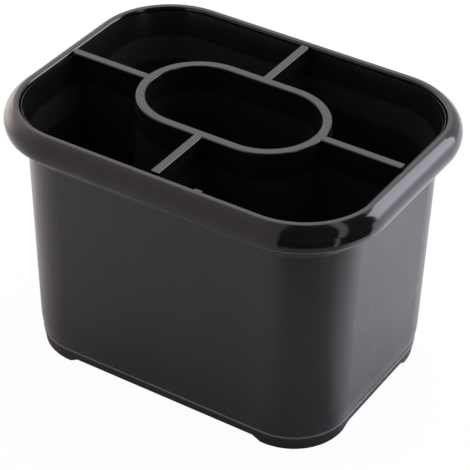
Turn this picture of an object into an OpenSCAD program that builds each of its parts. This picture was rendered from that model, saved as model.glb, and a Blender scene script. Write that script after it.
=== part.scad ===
// Cutlery drainer: a tapered tub with a rolled lip and a lift-out basket with five cups.
// Millimetres. Origin under the middle of the feet, +X along the long side, -Y is the front, +Z up.

/* [Overall] */
// outside length over the lip
length = 182; // [168:1:200]
// outside width over the lip
width = 137; // [128:1:150]
// height of the tub's rim above the table
height = 126.6; // [110:0.2:150]
// plan radius of the lip's outer corners
corner_r = 39.5; // [35:0.5:44]

/* [Lip] */
// radius of the rim's rounded crest
rim_round = 1.8; // [1.5:0.1:2.1]
// radius of the lip's rolled outer face
lip_round = 9; // [8:0.5:10]
// lean of the surface where the crest runs into the rolled face, degrees
crest_a = 61; // [58:0.5:64]
// how far the rolled face turns under at its lower edge, degrees
under_a = 22; // [18:0.5:25]
// thickness of the rolled lip
lip_skin = 2.4; // [2.2:0.1:2.6]
// how far the lip stands out from the wall beneath it
lip_overhang = 9.7; // [9:0.1:11]
// depth below the rim where the flared mouth starts to narrow
flare_top = 4.6; // [4.4:0.1:5]
// depth below the rim where the flare has narrowed to the wall
flare_drop = 20.6; // [19:0.2:22]

/* [Wall and base] */
// thickness of the tub's wall
tub_wall = 1.9; // [1.5:0.1:2.4]
// lean of the walls from the vertical, degrees
tub_draft = 1.6; // [0.8:0.02:2]
// height where the wall starts to turn in to the base
turn_z = 16.4; // [13:0.2:20]
// lean of the wall where it comes down to the mould line, degrees
turn_lean = 14; // [12:0.5:16]
// height of the fine mould line round the base
line_z = 7.4; // [6.5:0.1:9]
// lean of the band below the mould line, degrees
band_lean = 9; // [6:0.5:11]
// how far the mould line's ledge stands out from the wall above it
line_proud = 0.5; // [0.4:0.05:0.7]
// chamfer of the ledge's outer edge
line_edge = 0.15; // [0.1:0.05:0.2]
// edge radius of the base between the feet
base_round = 1.9; // [1.2:0.1:2.4]
// thickness of the tub's floor
tub_floor = 2.2; // [1.6:0.1:3]
// fillet between the tub's wall and floor
floor_fillet = 6; // [4:0.5:8]
// height of the four corner feet
foot_h = 2; // [1.5:0.1:2.5]
// width of the foot pads
foot_w = 10; // [7:0.5:13]
// edge radius of the feet
foot_round = 1; // [0.6:0.1:1.3]
// length of the ramp at each end of a foot
foot_ramp = 6.5; // [5:0.5:9]

/* [Basket] */
// gap between the basket's edge and the tub's mouth
edge_gap = 0.45; // [0.4:0.05:0.7]
// thickness of the basket's upstanding edge
edge_t = 1; // [0.8:0.1:1.3]
// depth of the basket's edge below the rim
edge_drop = 2; // [1.9:0.1:2.4]
// width left at the top of the edge's steep inner bevel
edge_tip = 0.2; // [0.15:0.05:0.3]
// height of the dividers' tops over the rim, below it when negative
divider_rise = -0.2; // [-0.4:0.1:0.2]
// gap between the basket's wall and the tub's wall
wall_gap = 1; // [0.7:0.1:1.5]
// thickness of the basket's walls
skin = 1.2; // [1:0.1:1.5]
// thickness of the basket's sloping shoulder, measured level
shoulder_t = 1.4; // [1.2:0.1:1.6]
// clearance of the shoulder's flat sides from the flare they seat in
seat_gap = 0.1; // [0.05:0.05:0.2]
// clearance of the shoulder's rounded corners from the flare
corner_gap = 0.35; // [0.3:0.05:0.4]
// thickness of the basket's floors
basket_floor = 1.6; // [1.2:0.1:2]
// height of the basket's underside above the table
basket_z = 14; // [11:0.5:18]
// radius of the basket's outer bottom edge
basket_round = 3; // [2:0.2:4]

/* [Dividers] */
// outside length of the oval divider at its top
oval_length = 89.6; // [84:0.4:94]
// outside width of the oval divider at its top
oval_width = 55.6; // [52:0.4:60]
// width of the oval divider's top
oval_top = 4.3; // [4:0.1:4.8]
// width of the four straight dividers' tops
rib_top = 4.1; // [3.8:0.1:4.6]
// edge radius of the dividers' tops
top_round = 0.8; // [0.5:0.1:1]
// lean of the dividers' sides, degrees
divider_draft = 0.8; // [0.6:0.05:1]
// thickness of the web that closes the hollow dividers at the top
web = 1.6; // [1.3:0.1:2]
// plan radius of the straight dividers' outer ends
rib_end_round = 0.9; // [0.5:0.1:1.2]

/* [Small details] */
// diameter of the drain holes
drain_d = 4.6; // [3.6:0.2:5]
// spacing of the drain holes
drain_pitch = 12; // [11:0.5:14]
// width of the spacer nib inside the front rim
nib_w = 3.6; // [2.8:0.2:4.4]
// distance of the spacer nib from the middle
nib_x = 22.4; // [16:0.4:28]

/* [Hidden] */
$fn = 64;
// corner centres in plan
ca = length / 2 - corner_r;
cb = width / 2 - corner_r;
// centre of the rim's crest, which stands a hair out of the rolled face where they meet
meet_in = 0.006;
crest_reach = lip_round - rim_round + meet_in;
crest_c = [snap(corner_r - lip_round + crest_reach * cos(crest_a)), height - rim_round];
// centre of the rolled face, and of the round along its lower edge
roll_c = [corner_r - lip_round, crest_c[1] - crest_reach * sin(crest_a)];
under_c = roll_c + (lip_round - lip_skin / 2) * [cos(under_a), -sin(under_a)];
lip_z = under_c[1] - lip_skin / 2;
// radius of the tub's mouth about a corner centre
mouth_r = crest_c[0] - rim_round;
tan_d = tan(tub_draft);
// tub wall, outer and inner radius about a corner centre at a height
function wall_r(z) = corner_r - lip_overhang - (lip_z - z) * tan_d;
function bore_r(z) = wall_r(z) - tub_wall;
// flared mouth: its upper and lower level, and its slope
flare_z = height - flare_top;
flare_low = height - flare_drop;
tan_f = (mouth_r - bore_r(flare_low)) / (flare_z - flare_low);
// the turn from wall to band, an arc drawn with short straight steps
turn_rad = (turn_z - line_z) / (sin(turn_lean) - sin(tub_draft));
function turn_pt(a) = [
    wall_r(turn_z) - turn_rad * (cos(tub_draft) - cos(a)),
    turn_z - turn_rad * (sin(a) - sin(tub_draft))
];
// a point on the turn at a height
function turn_at(z) = turn_pt(asin(sin(tub_draft) + (turn_z - z) / turn_rad));
line_pt = turn_pt(turn_lean);
ledge_r = line_pt[0] + line_proud;
// fall of the ledge's top from the wall to its edge
ledge_fall = line_edge * 0.6;
// a point on the band below the mould line
function band_pt(z) = [ledge_r - (line_z - z) * tan(band_lean), z];
// keeps an arc's centre on a fine grid, so that arcs and straight runs meet exactly
function snap(v) = round(v * 1000) / 1000;
// centres of the edge radii of the base and of the feet
base_c = [snap(band_pt(foot_h + base_round)[0]) - base_round, foot_h + base_round];
foot_c = [snap(band_pt(foot_round)[0]) - foot_round, foot_round];
foot_in = line_pt[0] - foot_w;
floor_z = foot_h + tub_floor;
fillet_c = [snap(bore_r(floor_z + floor_fillet)) - floor_fillet, floor_z + floor_fillet];
// basket levels and radii
top_z = height + divider_rise;
edge_z = height - edge_drop;
// level where the rounded tops start
body_top = flare_z;
// how far the rounded tops reach down into the walls, and stand in from their faces
sink = 0.3;
tuck = 0.03;
hollow_top = top_z - web;
edge_r = mouth_r - edge_gap;
floor_top = basket_z + basket_floor;
function shell_r(z) = bore_r(z) - wall_gap;
function cup_r(z) = shell_r(z) - skin;
// lower and upper end of the shoulder's outer face, standing off the flare by a gap
function shoulder_low(gap) = flare_low - (wall_gap - gap) / (tan_f - tan_d);
function shoulder_high(gap) = flare_z - (edge_gap - gap) / tan_f;
// lower and upper end of the shoulder's inner face
slope_low = flare_low - (wall_gap + skin - shoulder_t) / (tan_f - tan_d);
slope_high = flare_z - (edge_gap + edge_t - shoulder_t) / tan_f;
tan_v = tan(divider_draft);
oval_r = oval_width / 2;
oval_a = oval_length / 2 - oval_r;
low_z = basket_z - 1;
// radius of the middle of the oval divider's ends
oval_mid = oval_r - oval_top / 2;
// reach of the straight dividers, to the middle of the basket's edge
rib_x = ca + edge_r - edge_t / 2;
rib_y = cb + edge_r - edge_t / 2;
// reach of the hollows under the straight dividers
hollow_x = ca + cup_r(basket_z);
hollow_y = cb + cup_r(basket_z);
// the spacer nib: reach into the mouth and into the rim, depth of its top and foot below the rim
nib_out = edge_gap - 0.25;
nib_root = 1;
nib_top = 0.3;
nib_low = 3;
// drain hole tests at floor level
drain_r = cup_r(floor_top) - drain_d;
oval_low = oval_r + (body_top - floor_top) * tan_v + drain_d;
cup_low = oval_r - oval_top - (body_top - floor_top) * tan_v - drain_d * 0.9;
function over(v, lim) = max(abs(v) - lim, 0);
function in_room(x, y) = norm([over(x, ca), over(y, cb)]) < drain_r;
function off_oval(x, y) = norm([over(x, oval_a), y]) > oval_low;
function in_cup(x, y) = norm([over(x, oval_a), y]) < cup_low;

// pie slice of a disc about c, from angle a0 to a1
module slice(c, rad, a0, a1) {
    am = (a0 + a1) / 2;
    k = rad * 2;
    translate(c) intersection() {
        circle(r = rad);
        polygon([
            [0, 0], [k * cos(a0), k * sin(a0)],
            [k * cos(am), k * sin(am)], [k * cos(a1), k * sin(a1)]
        ]);
    }
}

// carries a radius and height section round the four corners
module corners() {
    for (k = [0, 180]) rotate([0, 0, k]) {
        translate([ca, cb, 0]) rotate_extrude(angle = 90) children();
        translate([-ca, cb, 0]) rotate([0, 0, 90]) rotate_extrude(angle = 90) children();
    }
}

// carries a radius and height section along the four straight sides
module sides() {
    for (k = [0, 180]) rotate([0, 0, k]) {
        translate([ca, cb, 0]) rotate([90, 0, 0]) linear_extrude(2 * cb) children();
        rotate([0, 0, 90]) translate([cb, ca, 0])
            rotate([90, 0, 0]) linear_extrude(2 * ca) children();
    }
}

// carries a section all the way round
module sweep() {
    corners() children();
    sides() children();
}

// section of the tub below the mould line, with or without a foot
function low_edge(foot) = foot
    ? [[0, foot_h], [foot_in, foot_h], [foot_in, 0], [foot_c[0], 0], foot_c,
       [foot_c[0] + foot_round, foot_c[1]]]
    : [[0, foot_h], [base_c[0], foot_h], base_c,
       [base_c[0] + base_round, base_c[1]]];

// section of the rim's crest and the rolled lip
module lip_section() {
    slice(crest_c, rim_round, 0, 90);
    slice(crest_c, rim_round, 90, 180);
    difference() {
        slice(roll_c, lip_round, -under_a, crest_a);
        translate(roll_c) circle(r = lip_round - lip_skin);
    }
    translate(under_c) circle(r = lip_skin / 2 + meet_in);
}

module tub_section(foot) {
    difference() {
        union() {
            polygon(concat(low_edge(foot), [
                band_pt(line_z - line_edge),
                [ledge_r - line_edge, line_z],
                turn_at(line_z + ledge_fall),
                turn_at(line_z * 0.75 + turn_z * 0.25),
                turn_at(line_z * 0.5 + turn_z * 0.5),
                turn_at(line_z * 0.25 + turn_z * 0.75),
                [wall_r(turn_z), turn_z],
                [wall_r(flare_low), flare_low],
                [mouth_r + tub_wall, flare_z],
                [mouth_r + tub_wall, crest_c[1]],
                crest_c,
                [mouth_r, crest_c[1]],
                [mouth_r, flare_z],
                [bore_r(flare_low), flare_low],
                [fillet_c[0] + floor_fillet, fillet_c[1]],
                fillet_c,
                [fillet_c[0], floor_z],
                [0, floor_z]
            ]));
            if (foot) slice(foot_c, foot_round, -90, 0);
            else slice(base_c, base_round, -90, 0);
            lip_section();
        }
        slice(fillet_c, floor_fillet, -90, 0);
    }
}

// section of a foot alone, for the ramped ends
module foot_section() {
    polygon([
        [foot_in, base_c[1]], [foot_in, 0], [foot_c[0], 0], foot_c,
        [foot_c[0] + foot_round, foot_c[1]], [base_c[0] + base_round, base_c[1]]
    ]);
    slice(foot_c, foot_round, -90, 0);
}

// ramped end of a foot, running from the corner along a side
module foot_end() {
    difference() {
        rotate([90, 0, 0]) linear_extrude(foot_ramp) foot_section();
        rotate([90, 0, 90]) linear_extrude(corner_r)
            polygon([
                [0.5, -1], [0.5, -0.5 * base_c[1] / foot_ramp],
                [-foot_ramp - 0.5, base_c[1] * (1 + 0.5 / foot_ramp)], [-foot_ramp - 0.5, -1]
            ]);
    }
}

module outer_tub() {
    color([0.06, 0.06, 0.065]) union() {
        corners() tub_section(true);
        sides() tub_section(false);
        for (k = [0, 180]) rotate([0, 0, k]) {
            translate([ca, cb, 0]) foot_end();
            translate([-ca, cb, 0]) mirror([1, 0, 0]) foot_end();
            translate([ca, cb, 0]) rotate([0, 0, 90]) mirror([0, 1, 0]) foot_end();
            translate([-ca, cb, 0]) rotate([0, 0, 90]) foot_end();
        }
        translate([-ca, -cb, foot_h]) cube([2 * ca, 2 * cb, tub_floor]);
        translate([nib_x - nib_w / 2, -cb - mouth_r - nib_root, height - nib_low])
            cube([nib_w, nib_root + nib_out, nib_low - nib_top]);
    }
}

// upright prism with leaning long sides, half width w where the rounded tops start
module leaning_prism(w, len, z0, z1, lean) {
    rotate([90, 0, 90]) linear_extrude(len)
        polygon([
            [-w - (body_top - z0) * lean, z0], [w + (body_top - z0) * lean, z0],
            [w + (body_top - z1) * lean, z1], [-w - (body_top - z1) * lean, z1]
        ]);
}

// upright oval with leaning sides, end radius rad where the rounded tops start
module oval_body(rad, z0, z1, lean) {
    for (k = [0, 180]) rotate([0, 0, k]) translate([oval_a, 0, 0])
        rotate([0, 0, -90]) rotate_extrude(angle = 180)
            polygon([
                [0, z0], [rad + (body_top - z0) * lean, z0],
                [rad + (body_top - z1) * lean, z1], [0, z1]
            ]);
    translate([-oval_a, 0, 0]) leaning_prism(rad, 2 * oval_a, z0, z1, lean);
}

// the four straight dividers, half width w
module rib_bodies(w, z0, z1, lean, end_x, end_y) {
    translate([-end_x, 0, 0]) leaning_prism(w, 2 * end_x, z0, z1, lean);
    rotate([0, 0, 90]) translate([-end_y, 0, 0]) leaning_prism(w, 2 * end_y, z0, z1, lean);
}

// section of the basket's outside, its shoulder standing off the flare by a gap
module shell_section(gap) {
    c = [snap(shell_r(basket_z + basket_round)) - basket_round, basket_z + basket_round];
    low = shoulder_low(gap);
    polygon([
        [0, basket_z], [c[0], basket_z], c, [c[0] + basket_round, c[1]], [shell_r(low), low],
        [edge_r, shoulder_high(gap)], [edge_r, body_top], [0, body_top]
    ]);
    slice(c, basket_round, -90, 0);
}

// outside of the basket, solid: the straight sides seat on the flare and the corners clear it
module shell_solid() {
    corners() shell_section(corner_gap);
    sides() shell_section(seat_gap);
    translate([-ca, -cb, basket_z]) cube([2 * ca, 2 * cb, body_top - basket_z]);
}

// inside of the basket, solid
module room_solid() {
    rad = basket_round - skin + 0.4;
    c = [snap(cup_r(floor_top + rad)) - rad, floor_top + rad];
    sweep() {
        polygon([
            [0, floor_top], [c[0], floor_top], c, [c[0] + rad, c[1]],
            [cup_r(slope_low), slope_low], [edge_r - edge_t, slope_high],
            [edge_r - edge_t, body_top + 1], [0, body_top + 1]
        ]);
        slice(c, rad, -90, 0);
    }
    translate([-ca, -cb, floor_top]) cube([2 * ca, 2 * cb, body_top + 1 - floor_top]);
}

// rounded top of a divider whose walls are 2 * half wide
module crown_section(half) {
    w = half - tuck;
    z = top_z - top_round;
    polygon([
        [-w, body_top - sink], [w, body_top - sink], [w, z], [w - top_round, z],
        [w - top_round, top_z], [-w + top_round, top_z], [-w + top_round, z], [-w, z]
    ]);
    slice([w - top_round, z], top_round, 0, 90);
    slice([-w + top_round, z], top_round, 90, 180);
}

// upstanding edge of the basket, bevelled inside so that nothing catches on it
module edge_section() {
    out = edge_r - tuck;
    polygon([
        [edge_r - edge_t + tuck, body_top - sink], [out, body_top - sink], [out, edge_z],
        [out - edge_tip, edge_z], [edge_r - edge_t + tuck, body_top]
    ]);
}

// rounded top of the oval divider
module oval_crown() {
    for (k = [0, 180]) rotate([0, 0, k]) {
        translate([oval_a, 0, 0]) rotate([0, 0, -90]) rotate_extrude(angle = 180)
            translate([oval_mid, 0]) crown_section(oval_top / 2);
        translate([-oval_a, oval_mid, 0]) rotate([90, 0, 90]) linear_extrude(2 * oval_a)
            crown_section(oval_top / 2);
    }
}

// rounded top of one straight divider from x0 out to x1, with rounded outer corners
module rib_crown(x0, x1) {
    w = rib_top / 2 - tuck;
    q = rib_end_round;
    intersection() {
        translate([x0, 0, 0]) rotate([90, 0, 90]) linear_extrude(x1 - x0 + 1) crown_section(rib_top / 2);
        translate([0, 0, body_top - 1]) linear_extrude(top_z - body_top + 2) {
            polygon([
                [x0 - 1, -w - 1], [x1 - q, -w - 1], [x1 - q, -w + q], [x1, -w + q],
                [x1, w - q], [x1 - q, w - q], [x1 - q, w + 1], [x0 - 1, w + 1]
            ]);
            slice([x1 - q, w - q], q, 0, 90);
            slice([x1 - q, -w + q], q, -90, 0);
        }
    }
}

// the hollows under the dividers, open below
module hollows() {
    difference() {
        oval_body(oval_r - skin, low_z, hollow_top, tan_v);
        oval_body(oval_r - oval_top + skin, low_z - 1, hollow_top + 1, -tan_v);
    }
    difference() {
        rib_bodies(rib_top / 2 - skin, low_z, hollow_top, tan_v, hollow_x, hollow_y);
        oval_body(oval_mid, low_z - 1, hollow_top + 1, 0);
    }
}

// drain holes through the five floors
module drains() {
    for (i = [-6:5], j = [-5:4]) {
        x = (i + 0.5) * drain_pitch;
        y = (j + 0.5) * drain_pitch;
        if (in_room(x, y) && off_oval(x, y) && min(abs(x), abs(y)) > drain_pitch * 0.4)
            translate([x, y, low_z]) cylinder(d = drain_d, h = basket_floor + 2, $fn = 24);
    }
    for (i = [-3:3], j = [-2:2]) {
        x = i * drain_pitch;
        y = j * drain_pitch;
        if (in_cup(x, y))
            translate([x, y, low_z]) cylinder(d = drain_d, h = basket_floor + 2, $fn = 24);
    }
}

module inner_basket() {
    color([0.07, 0.07, 0.075]) difference() {
        union() {
            difference() {
                shell_solid();
                difference() {
                    room_solid();
                    oval_body(oval_r, low_z, body_top + 2, tan_v);
                    rib_bodies(rib_top / 2, low_z, body_top + 2, tan_v, length, width);
                }
                oval_body(oval_r - oval_top, floor_top, body_top + 1, -tan_v);
            }
            sweep() edge_section();
            oval_crown();
            for (k = [0, 180]) rotate([0, 0, k]) {
                rib_crown(oval_a + oval_mid, rib_x);
                rotate([0, 0, 90]) rib_crown(oval_mid, rib_y);
            }
        }
        hollows();
        drains();
    }
}

outer_tub();
inner_basket();
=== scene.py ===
# Looks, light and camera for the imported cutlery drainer.
import math

import bpy
from mathutils import Matrix, Vector


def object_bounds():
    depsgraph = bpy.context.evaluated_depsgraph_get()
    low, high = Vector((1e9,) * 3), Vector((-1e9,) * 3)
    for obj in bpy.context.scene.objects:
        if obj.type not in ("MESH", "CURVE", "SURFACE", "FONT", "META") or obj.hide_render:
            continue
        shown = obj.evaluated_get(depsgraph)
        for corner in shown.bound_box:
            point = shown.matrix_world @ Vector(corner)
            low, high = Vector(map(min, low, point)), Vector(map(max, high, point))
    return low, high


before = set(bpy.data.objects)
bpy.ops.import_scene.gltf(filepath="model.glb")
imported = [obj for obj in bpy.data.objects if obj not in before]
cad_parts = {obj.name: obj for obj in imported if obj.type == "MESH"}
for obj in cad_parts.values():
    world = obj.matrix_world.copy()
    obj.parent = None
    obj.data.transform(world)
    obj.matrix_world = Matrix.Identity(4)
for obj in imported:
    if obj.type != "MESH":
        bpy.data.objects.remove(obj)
cad_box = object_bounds()

# Lengths are in metres and angles in degrees; an azimuth turns from the front towards the right

# Half the lip's length and width, and the height of its rim, from the frame
HALF_LENGTH, HALF_WIDTH, RIM_Z = cad_box[1]
# Radius of the lip's corners, seen from above
CORNER_R = 0.0395

# Camera fitted to the photograph: its place and angles
CAMERA_PLACE = Vector((0.40041, -0.64665, 0.60616))
CAMERA_AZIMUTH = 31.6226
CAMERA_ELEVATION = 35.7595
CAMERA_ROLL = 1.1758
# Its focal length and the image's width in pixels, and its sensor's width in millimetres
CAMERA_FOCAL = 2102.14
IMAGE = 470
SENSOR = 36.0

# Looks of the two mouldings: tone of the pigment, roughness of wall and lip, strength of grain, and whether
# painted highlight lines and a rougher base are added
TUB_LOOK = {"tone": 0.011, "rough_wall": 0.28, "rough_lip": 0.09, "grain": 0.15, "highlight_lines_and_rough_base": True}
BASKET_LOOK = {"tone": 0.014, "rough_wall": 0.26, "rough_lip": 0.2, "grain": 0.2, "highlight_lines_and_rough_base": False}
PLASTIC_IOR = 1.58
# Height where the polished lip gives way to the satin wall, and half the height of the change
LIP_LOW_Z = RIM_Z - 0.013
LIP_BLEND = 0.0008
# Clouds in the pigment: their scale, and red, green and blue as shares of the tone, by place in the noise
PIGMENT_SCALE = 28.0
PIGMENT_SHARES = ((0.3, (0.86, 0.84, 0.85)), (0.7, (1.14, 1.1, 1.1)))
# Share of the tone left on the lip
LIP_TONE = 0.4
# Faint handling marks: their scale, the span of noise they come from, and the change of roughness
MARKS_SCALE = 45.0
MARKS_SPAN = (0.35, 0.65)
MARKS_ROUGH = 0.02
# Fine moulded grain: its scale, detail and depth, and the share of it left on the lip
GRAIN_SCALE = 2600.0
GRAIN_DETAIL = 2.0
GRAIN_DEPTH = 0.00002
LIP_GRAIN = 0.15

# Heights of the two pale lines painted around the tub as highlights: on its mould line and on the lip's lower
# edge
LINE_Z = 0.0074
EDGE_Z = RIM_Z - 0.0117
# The colour of each, and half their width
HIGHLIGHT_LINES = ((LINE_Z, (0.17, 0.165, 0.175, 1)), (EDGE_Z, (0.07, 0.066, 0.067, 1)))
HIGHLIGHT_HALF = 0.0005
# How unevenly the painted highlights are pale: scale and span of the noise, and the least strength
HIGHLIGHT_NOISE_SCALE = 90.0
HIGHLIGHT_NOISE_SPAN = (0.3, 0.6)
HIGHLIGHT_LEAST = 0.75
# How much rougher the turned-in base is, and the heights between which that ends
BASE_ROUGHER = 0.25
BASE_TOP = (LINE_Z - HIGHLIGHT_HALF, LINE_Z - HIGHLIGHT_HALF / 2)

# White floor: its size, and the scale and tones of its faint clouds
FLOOR_SIZE = 6.0
FLOOR_SCALE = 3.0
FLOOR_TONES = (0.94, 0.96)
# How much of it is plain white, as seen and as mirrored in the gloss
FLOOR_WHITE = 0.97
FLOOR_WHITE_MIRRORED = 0.15
WHITE = (1, 1, 1, 1)

# Soft boxes: the point that each faces, its place from there, its size and its glow
SOFT_BOXES = {
    "soft_box_right": {
        "material": "soft_box_cool",
        "facing": (0.0875, -0.06),
        "azimuth": 139.2,
        "distance": 1.2,
        "width": 0.63,
        "height": 1.06,
        "colour": (0.985, 1, 1.14, 1),
        "strength": 4.6,
        "edge": 0.07,
        "rim": 0.25,
        "foot": 0.45,
    },
    "soft_box_left": {
        "material": "soft_box_warm",
        "facing": (-0.0875, -0.02),
        "azimuth": -101,
        "distance": 0.36,
        "width": 0.38,
        "height": 0.28,
        "colour": (1.16, 1, 0.95, 1),
        "strength": 2.45,
        "edge": 0.4,
        "rim": 0.55,
        "foot": 0.8,
    },
}
# Share of a soft box's height over which its foot brightens
FOOT_HEIGHT = 0.33

# Cards on the floor, seen only in the gloss, whose tones paint the floor's shadow as the gloss mirrors it:
# they turn around the centres of the lip's front corners
CORNER_RIGHT = (HALF_LENGTH - CORNER_R, CORNER_R - HALF_WIDTH)
CORNER_LEFT = (-CORNER_RIGHT[0], CORNER_RIGHT[1])
# Their reach, the steps along their round edge, and the colour of a card of tone 1
CARD_R = 2.9
CARD_STEPS = 24
CARD_TINT = (1, 0.96, 0.98)
# Around the left corner the lowest card, a painted shadow, darkens towards the front: azimuth and tone
FRONT_SHADOW_TONES = (
    (-95, 0.94), (-81, 0.88), (-62, 0.76), (-44, 0.63), (-26, 0.505), (0, 0.475), (90, 0.455),
)
FRONT_Z = 0.0002
# Around the right corner lies the highest card, a grey one painting the shadow near the object: tones, height
# and radius
NEAR_SHADOW_TONES = ((-20, 0.49), (20, 0.30), (80, 0.32), (104, 0.9), (122, 0.94))
NEAR_Z = 0.0004
NEAR_R = 0.165
# From there on lie black cards, a painted dark shadow, and a pale strip between them: tones, span and height
BLACK_SHADOW_TONES = ((0, 0.03), (120, 0.035))
BLACK_SPAN = (6.0, 115.0)
PALE_TONES = ((0, 0.78), (120, 0.82))
PALE_SPAN = (68.0, 73.5)
FAR_Z = 0.0003

# A round lamp high at the back right, which lights the floor and leaves no mark in the gloss
FILL_PLACE = Vector((0.5, 0.42, 0.5))
FILL_AIM = Vector((0.38, 0.34, 0.0))
FILL_SIZE = 0.8
FILL_POWER = 1.6
FILL_COLOUR = (0.95, 0.92, 1.25)

# Glow of the room: azimuth, level, and red and blue next to green
ROOM = (
    (-180, 0.75, 1.04, 1.02),
    (-150, 0.70, 1.06, 1.00),
    (-130, 1.05, 1.08, 0.98),
    (-112, 1.45, 1.10, 0.97),
    (-90, 1.40, 1.12, 0.97),
    (-70, 0.92, 1.12, 0.96),
    (-50, 0.65, 1.11, 0.96),
    (-30, 0.54, 1.11, 0.96),
    (10, 0.50, 1.10, 0.98),
    (119, 0.90, 1.03, 1.05),
    (150, 0.90, 1.02, 1.06),
    (180, 0.75, 1.04, 1.02),
)
# A colour ramp holds levels up to 1, so the room's are divided by this and the world's strength is this
ROOM_SCALE = 3.0
# A large round light overhead: azimuth and elevation of its centre, cosine of its reach, and softness
DISC_CENTRE = (-149.2, 60.8)
DISC_EDGE = 0.735
DISC_SOFT = 0.02
# Its brightest place, and its glow by the cosine from there: level, and red and blue next to green
DISC_BRIGHT = (-150.0, 75.0)
DISC = (
    (0.5, 0.92, 1.07, 1.03),
    (0.7, 1.34, 1.045, 1.035),
    (0.9, 1.94, 1.04, 1.035),
    (1.0, 2.25, 1.04, 1.035),
)
# The dark opening of the studio: inward normals of its left and right edge, softness and level
DARK_EDGES = ((0.9925, 0.122, 0.03), (0.482, -0.845, 0.2305))
DARK_SOFT = 0.05
DARK_LEVEL = 0.05
# A narrow upright light seen through it: normal of its plane, outer and inner half width, and level
STRIP_NORMAL = (-0.2288, -0.9511, 0.2074)
STRIP_HALF = (0.1, 0.06)
STRIP_LEVEL = 1.05
# It fades in towards the right, as a direction's X goes from the first of these to the second
STRIP_FADE = (0.15, 0.3)


def node(tree, kind, feeds=None, **settings):
    """Adds a shader node, and feeds its inputs with values or with outputs of other nodes."""
    made = tree.nodes.new(kind)
    for key, value in settings.items():
        setattr(made, key, value)
    for key, value in (feeds or {}).items():
        if isinstance(value, bpy.types.NodeSocket):
            tree.links.new(value, made.inputs[key])
        else:
            made.inputs[key].default_value = value
    return made


def coordinates(tree, kind):
    return node(tree, "ShaderNodeTexCoord").outputs[kind]


def axes(tree, vector):
    """The X, Y and Z of a vector."""
    return node(tree, "ShaderNodeSeparateXYZ", {0: vector}).outputs


def maths(tree, operation, *values):
    return node(tree, "ShaderNodeMath", dict(enumerate(values)), operation=operation).outputs[0]


def smooth_step(tree, value, start, end, low=0.0, high=1.0):
    """Goes smoothly from low to high while a value goes from start to end."""
    feeds = {"Value": value, "From Min": start, "From Max": end, "To Min": low, "To Max": high}
    return node(tree, "ShaderNodeMapRange", feeds, interpolation_type="SMOOTHSTEP").outputs["Result"]


def noise(tree, vector, scale, detail=3.0):
    feeds = {"Vector": vector, "Scale": scale, "Detail": detail}
    return node(tree, "ShaderNodeTexNoise", feeds).outputs["Fac"]


def colour_ramp(tree, share, stops):
    """Colours by a share from 0 to 1; each stop has its place, and its red, green and blue."""
    ramp = node(tree, "ShaderNodeValToRGB", {"Fac": share})
    elements = ramp.color_ramp.elements
    elements.remove(elements[-1])
    for i, (place, colour) in enumerate(stops):
        element = elements[0] if i == 0 else elements.new(place)
        element.position = place
        element.color = (*colour, 1)
    return ramp.outputs["Color"]


def mixed(tree, share, first, second):
    """The first colour where the share is 0, and the second where it is 1."""
    return node(tree, "ShaderNodeMix", {0: share, 6: first, 7: second}, data_type="RGBA").outputs[2]


def mixed_shader(tree, share, first, second):
    return node(tree, "ShaderNodeMixShader", {0: share, 1: first, 2: second}).outputs["Shader"]


def diffuse(tree, colour):
    return node(tree, "ShaderNodeBsdfDiffuse", {"Color": colour}).outputs["BSDF"]


def emission(tree, colour, strength):
    return node(tree, "ShaderNodeEmission", {"Color": colour, "Strength": strength}).outputs["Emission"]


def background(tree, colour, strength):
    return node(tree, "ShaderNodeBackground", {"Color": colour, "Strength": strength}).outputs["Background"]


def across(tree, vector, normal):
    """How far a direction lies to one side of a plane."""
    dot = node(tree, "ShaderNodeVectorMath", {0: vector, 1: normal}, operation="DOT_PRODUCT")
    return dot.outputs["Value"]


def turn_share(azimuth):
    """Place of an azimuth in a full turn that starts at the back, from 0 to 1."""
    return (azimuth + 180) / 360


def turn_share_of(tree, vector):
    """The same for the azimuth of a direction."""
    split = axes(tree, vector)
    azimuth = maths(tree, "ARCTAN2", split["X"], maths(tree, "MULTIPLY", split["Y"], -1.0))
    feeds = {"Value": azimuth, "From Min": -math.pi, "From Max": math.pi}
    return node(tree, "ShaderNodeMapRange", feeds).outputs["Result"]


def towards(azimuth, elevation):
    """Direction at an azimuth and elevation."""
    az, el = math.radians(azimuth), math.radians(elevation)
    return Vector((math.sin(az) * math.cos(el), -math.cos(az) * math.cos(el), math.sin(el)))


def new_material(name):
    mat = bpy.data.materials.new(name)
    mat.use_nodes = True
    mat.node_tree.nodes.clear()
    return mat, mat.node_tree


def show(tree, shader):
    """Gives a material its surface."""
    node(tree, "ShaderNodeOutputMaterial", {"Surface": shader})


def clouded_pigment(tree, coords, on_lip, tone):
    """Colour that changes slowly, as pigment flows in the mould, and is deeper on the lip."""
    stops = [(place, [tone * share for share in shares]) for place, shares in PIGMENT_SHARES]
    colour = colour_ramp(tree, noise(tree, coords, PIGMENT_SCALE), stops)
    share = smooth_step(tree, on_lip, 0.0, 1.0, 1.0, LIP_TONE)
    shade = node(tree, "ShaderNodeVectorMath", {0: colour, "Scale": share}, operation="SCALE")
    return shade.outputs["Vector"]


def painted_highlight_line(tree, coords, height, pigment, place, colour):
    """The plastic's colour with a pale line painted around it as a highlight."""
    beside = maths(tree, "ABSOLUTE", maths(tree, "SUBTRACT", height, place))
    unevenness = smooth_step(tree, noise(tree, coords, HIGHLIGHT_NOISE_SCALE), *HIGHLIGHT_NOISE_SPAN, HIGHLIGHT_LEAST, 1.0)
    line = maths(tree, "MULTIPLY", smooth_step(tree, beside, HIGHLIGHT_HALF, HIGHLIGHT_HALF / 2), unevenness)
    return mixed(tree, line, pigment, colour)


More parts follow.
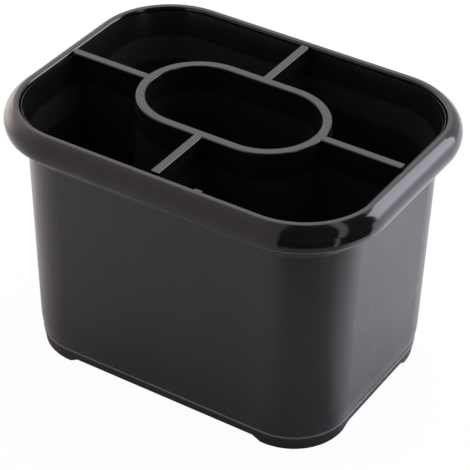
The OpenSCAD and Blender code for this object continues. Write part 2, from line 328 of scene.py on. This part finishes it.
def moulded_grain(tree, coords, on_lip, grain):
    """Fine grain, fading out on the lip."""
    feeds = {
        "Strength": smooth_step(tree, on_lip, 0.0, 1.0, grain, grain * LIP_GRAIN),
        "Distance": GRAIN_DEPTH,
        "Height": noise(tree, coords, GRAIN_SCALE, GRAIN_DETAIL),
    }
    return node(tree, "ShaderNodeBump", feeds).outputs["Normal"]


def black_plastic(name, tone, rough_wall, rough_lip, grain, highlight_lines_and_rough_base):
    """Black moulding with a satin wall and a polished lip; with highlight lines it gets pale lines painted as
    highlights, and a rougher, duller base.
    """
    mat, tree = new_material(name)
    coords = coordinates(tree, "Object")
    height = axes(tree, coords)["Z"]
    on_lip = smooth_step(tree, height, LIP_LOW_Z - LIP_BLEND, LIP_LOW_Z + LIP_BLEND)
    pigment = clouded_pigment(tree, coords, on_lip, tone)
    rough = smooth_step(tree, on_lip, 0.0, 1.0, rough_wall, rough_lip)
    if highlight_lines_and_rough_base:
        # Pale lines painted on the mould line and the lip's lower edge, standing in for their highlights
        for place, colour in HIGHLIGHT_LINES:
            pigment = painted_highlight_line(tree, coords, height, pigment, place, colour)
        rough = maths(tree, "ADD", rough, smooth_step(tree, height, *BASE_TOP, BASE_ROUGHER, 0.0))
    marks = smooth_step(tree, noise(tree, coords, MARKS_SCALE), *MARKS_SPAN, -MARKS_ROUGH, MARKS_ROUGH)
    feeds = {
        "Base Color": pigment,
        "Roughness": maths(tree, "ADD", rough, marks),
        "IOR": PLASTIC_IOR,
        "Normal": moulded_grain(tree, coords, on_lip, grain),
    }
    show(tree, node(tree, "ShaderNodeBsdfPrincipled", feeds).outputs["BSDF"])
    return mat


def paint(name, mat):
    """Gives a CAD node its material in place of the plain one."""
    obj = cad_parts[name]
    obj.data.materials.clear()
    obj.data.materials.append(mat)


def stage_mesh(name, points, faces, mat):
    """Adds a piece of the studio, which isn't part of the object."""
    mesh = bpy.data.meshes.new(name)
    mesh.from_pydata(points, [], faces)
    mesh.materials.append(mat)
    obj = bpy.data.objects.new(name, mesh)
    bpy.context.scene.collection.objects.link(obj)
    return obj


def floor_material():
    """White floor that keeps the object's shadow."""
    mat, tree = new_material("floor_white")
    stops = [(place, (tone, tone, tone)) for place, tone in enumerate(FLOOR_TONES)]
    colour = colour_ramp(tree, noise(tree, coordinates(tree, "Object"), FLOOR_SCALE), stops)
    path = node(tree, "ShaderNodeLightPath").outputs
    seen = maths(tree, "MULTIPLY", path["Is Camera Ray"], FLOOR_WHITE)
    through = maths(tree, "MAXIMUM", path["Is Glossy Ray"], path["Is Transmission Ray"])
    share = maths(tree, "ADD", seen, maths(tree, "MULTIPLY", through, FLOOR_WHITE_MIRRORED))
    show(tree, mixed_shader(tree, share, diffuse(tree, colour), emission(tree, WHITE, 1.0)))
    return mat


def build_floor():
    half = FLOOR_SIZE / 2
    points = [(-half, -half, 0), (half, -half, 0), (half, half, 0), (-half, half, 0)]
    stage_mesh("floor", points, [(0, 1, 2, 3)], floor_material())


def soft_box_material(name, colour, strength, edge, rim, foot):
    """Glowing panel whose sides and top dim to a rim level within an edge, and whose foot is dimmer too."""
    mat, tree = new_material(name)
    split = axes(tree, coordinates(tree, "Generated"))
    aside = maths(tree, "ABSOLUTE", maths(tree, "SUBTRACT", split["X"], 0.5))
    sides = smooth_step(tree, aside, 0.5, 0.5 - edge)
    top = smooth_step(tree, split["Z"], 1.0, 1.0 - edge)
    glow = maths(tree, "MULTIPLY", sides, top)
    glow = maths(tree, "ADD", maths(tree, "MULTIPLY", glow, 1.0 - rim), rim)
    glow = maths(tree, "MULTIPLY", glow, smooth_step(tree, split["Z"], 0.0, FOOT_HEIGHT, foot, 1.0))
    show(tree, emission(tree, colour, maths(tree, "MULTIPLY", glow, strength)))
    return mat


def soft_box(name, material, facing, azimuth, distance, width, height, **glow):
    """Upright panel on the floor, which faces a point from an azimuth."""
    half = width / 2
    points = [(-half, 0, 0), (half, 0, 0), (half, 0, height), (-half, 0, height)]
    obj = stage_mesh(name, points, [(0, 1, 2, 3)], soft_box_material(material, **glow))
    obj.location = Vector((*facing, 0)) + distance * towards(azimuth, 0)
    obj.rotation_euler = (0, 0, math.radians(azimuth))
    obj.visible_camera = False


def shadow_card_material(name, tones):
    """Card whose tone, a painted shadow as the gloss sees it, changes with the azimuth around its own centre.
    """
    mat, tree = new_material(name)
    stops = [(turn_share(azimuth), [tone * tint for tint in CARD_TINT]) for azimuth, tone in tones]
    colour = colour_ramp(tree, turn_share_of(tree, coordinates(tree, "Object")), stops)
    show(tree, mixed_shader(tree, FLOOR_WHITE_MIRRORED, diffuse(tree, colour), emission(tree, colour, 1.0)))
    return mat


def card(name, centre, height, start, end, inner, outer, mat):
    """Part of a ring just over the floor, between two azimuths, seen only in the gloss."""
    points, faces = [], []
    for i in range(CARD_STEPS + 1):
        outwards = towards(start + (end - start) * i / CARD_STEPS, 0)
        points += [radius * outwards for radius in (inner, outer)]
    for i in range(0, 2 * CARD_STEPS, 2):
        faces.append((i, i + 1, i + 3, i + 2))
    obj = stage_mesh(name, points, faces, mat)
    obj.location = (*centre, height)
    obj.visible_camera = False
    obj.visible_diffuse = False
    obj.visible_shadow = False


def build_shadow_cards():
    """A large grey card before the object, a small one on it, and around that black ones and a pale strip,
    painting the floor's shadow in the gloss.
    """
    front = shadow_card_material("painted_shadow_front", FRONT_SHADOW_TONES)
    card("card_front_left", CORNER_LEFT, FRONT_Z, FRONT_SHADOW_TONES[0][0], FRONT_SHADOW_TONES[-1][0], 0.0, CARD_R, front)
    near = shadow_card_material("painted_shadow_near", NEAR_SHADOW_TONES)
    card("card_near", CORNER_RIGHT, NEAR_Z, NEAR_SHADOW_TONES[0][0], NEAR_SHADOW_TONES[-1][0], 0.0, NEAR_R, near)
    pale = shadow_card_material("card_pale", PALE_TONES)
    card("card_strip", CORNER_RIGHT, FAR_Z, *PALE_SPAN, NEAR_R, CARD_R, pale)
    black = shadow_card_material("painted_shadow_black", BLACK_SHADOW_TONES)
    card("card_front", CORNER_RIGHT, FAR_Z, BLACK_SPAN[0], PALE_SPAN[0], NEAR_R, CARD_R, black)
    card("card_right", CORNER_RIGHT, FAR_Z, PALE_SPAN[1], BLACK_SPAN[1], NEAR_R, CARD_R, black)


def build_fill():
    fill = bpy.data.lights.new("fill", "AREA")
    fill.shape = "DISK"
    fill.size = FILL_SIZE
    fill.energy = FILL_POWER
    fill.color = FILL_COLOUR
    lamp = bpy.data.objects.new("fill", fill)
    lamp.location = FILL_PLACE
    lamp.rotation_euler = (FILL_AIM - FILL_PLACE).to_track_quat("-Z", "Y").to_euler()
    lamp.visible_glossy = False
    lamp.visible_camera = False
    bpy.context.scene.collection.objects.link(lamp)


def room_colour(level, red, blue):
    """Colour in the room's own scale, from its level, and red and blue next to green."""
    green = level / ROOM_SCALE
    return (green * red, green, green * blue)


def dark_opening(tree, vector):
    """Where the opening is, and its level there, with the narrow light that is seen through it."""
    sides = [smooth_step(tree, across(tree, vector, edge), -DARK_SOFT, DARK_SOFT) for edge in DARK_EDGES]
    strip = smooth_step(tree, maths(tree, "ABSOLUTE", across(tree, vector, STRIP_NORMAL)), *STRIP_HALF)
    strip = maths(tree, "MULTIPLY", strip, smooth_step(tree, axes(tree, vector)["X"], *STRIP_FADE))
    level = smooth_step(tree, strip, 0.0, 1.0, DARK_LEVEL / ROOM_SCALE, STRIP_LEVEL / ROOM_SCALE)
    return maths(tree, "MULTIPLY", *sides), level


def round_light(tree, vector):
    """Where the round light is, and its glow."""
    within = across(tree, vector, towards(*DISC_CENTRE))
    stops = [(place, room_colour(*tone)) for place, *tone in DISC]
    glow = colour_ramp(tree, across(tree, vector, towards(*DISC_BRIGHT)), stops)
    return smooth_step(tree, within, DISC_EDGE - DISC_SOFT, DISC_EDGE + DISC_SOFT), glow


def build_world():
    """A pale room with a large round light overhead and one dark opening; the camera sees it white."""
    world = bpy.data.worlds.new("studio")
    bpy.context.scene.world = world
    world.use_nodes = True
    tree = world.node_tree
    tree.nodes.clear()
    vector = coordinates(tree, "Generated")
    stops = [(turn_share(azimuth), room_colour(*tone)) for azimuth, *tone in ROOM]
    glow = colour_ramp(tree, turn_share_of(tree, vector), stops)
    opening, dark = dark_opening(tree, vector)
    glow = mixed(tree, opening, glow, dark)
    disc, bright = round_light(tree, vector)
    glow = mixed(tree, disc, glow, bright)
    path = node(tree, "ShaderNodeLightPath").outputs
    seen = maths(tree, "MAXIMUM", path["Is Camera Ray"], path["Is Transmission Ray"])
    room = background(tree, glow, ROOM_SCALE)
    surface = mixed_shader(tree, seen, room, background(tree, WHITE, 1.0))
    node(tree, "ShaderNodeOutputWorld", {"Surface": surface})


def build_camera():
    roll = math.radians(CAMERA_ROLL)
    forward = -towards(CAMERA_AZIMUTH, CAMERA_ELEVATION)
    right = forward.cross(Vector((0, 0, 1))).normalized()
    up = right.cross(forward)
    turned_right = math.cos(roll) * right + math.sin(roll) * up
    turned_up = math.cos(roll) * up - math.sin(roll) * right
    data = bpy.data.cameras.new("camera")
    data.sensor_fit = "HORIZONTAL"
    data.sensor_width = SENSOR
    data.lens = CAMERA_FOCAL / IMAGE * SENSOR
    camera = bpy.data.objects.new("camera", data)
    turn = Matrix((turned_right, turned_up, -forward)).transposed()
    camera.matrix_world = Matrix.Translation(CAMERA_PLACE) @ turn.to_4x4()
    bpy.context.scene.collection.objects.link(camera)
    bpy.context.scene.camera = camera


paint("outer_tub", black_plastic("tub_plastic", **TUB_LOOK))
paint("inner_basket", black_plastic("basket_plastic", **BASKET_LOOK))
build_floor()
for box_name, box in SOFT_BOXES.items():
    soft_box(box_name, **box)
build_shadow_cards()
build_fill()
build_world()
build_camera()
bpy.context.scene.view_settings.view_transform = "Standard"
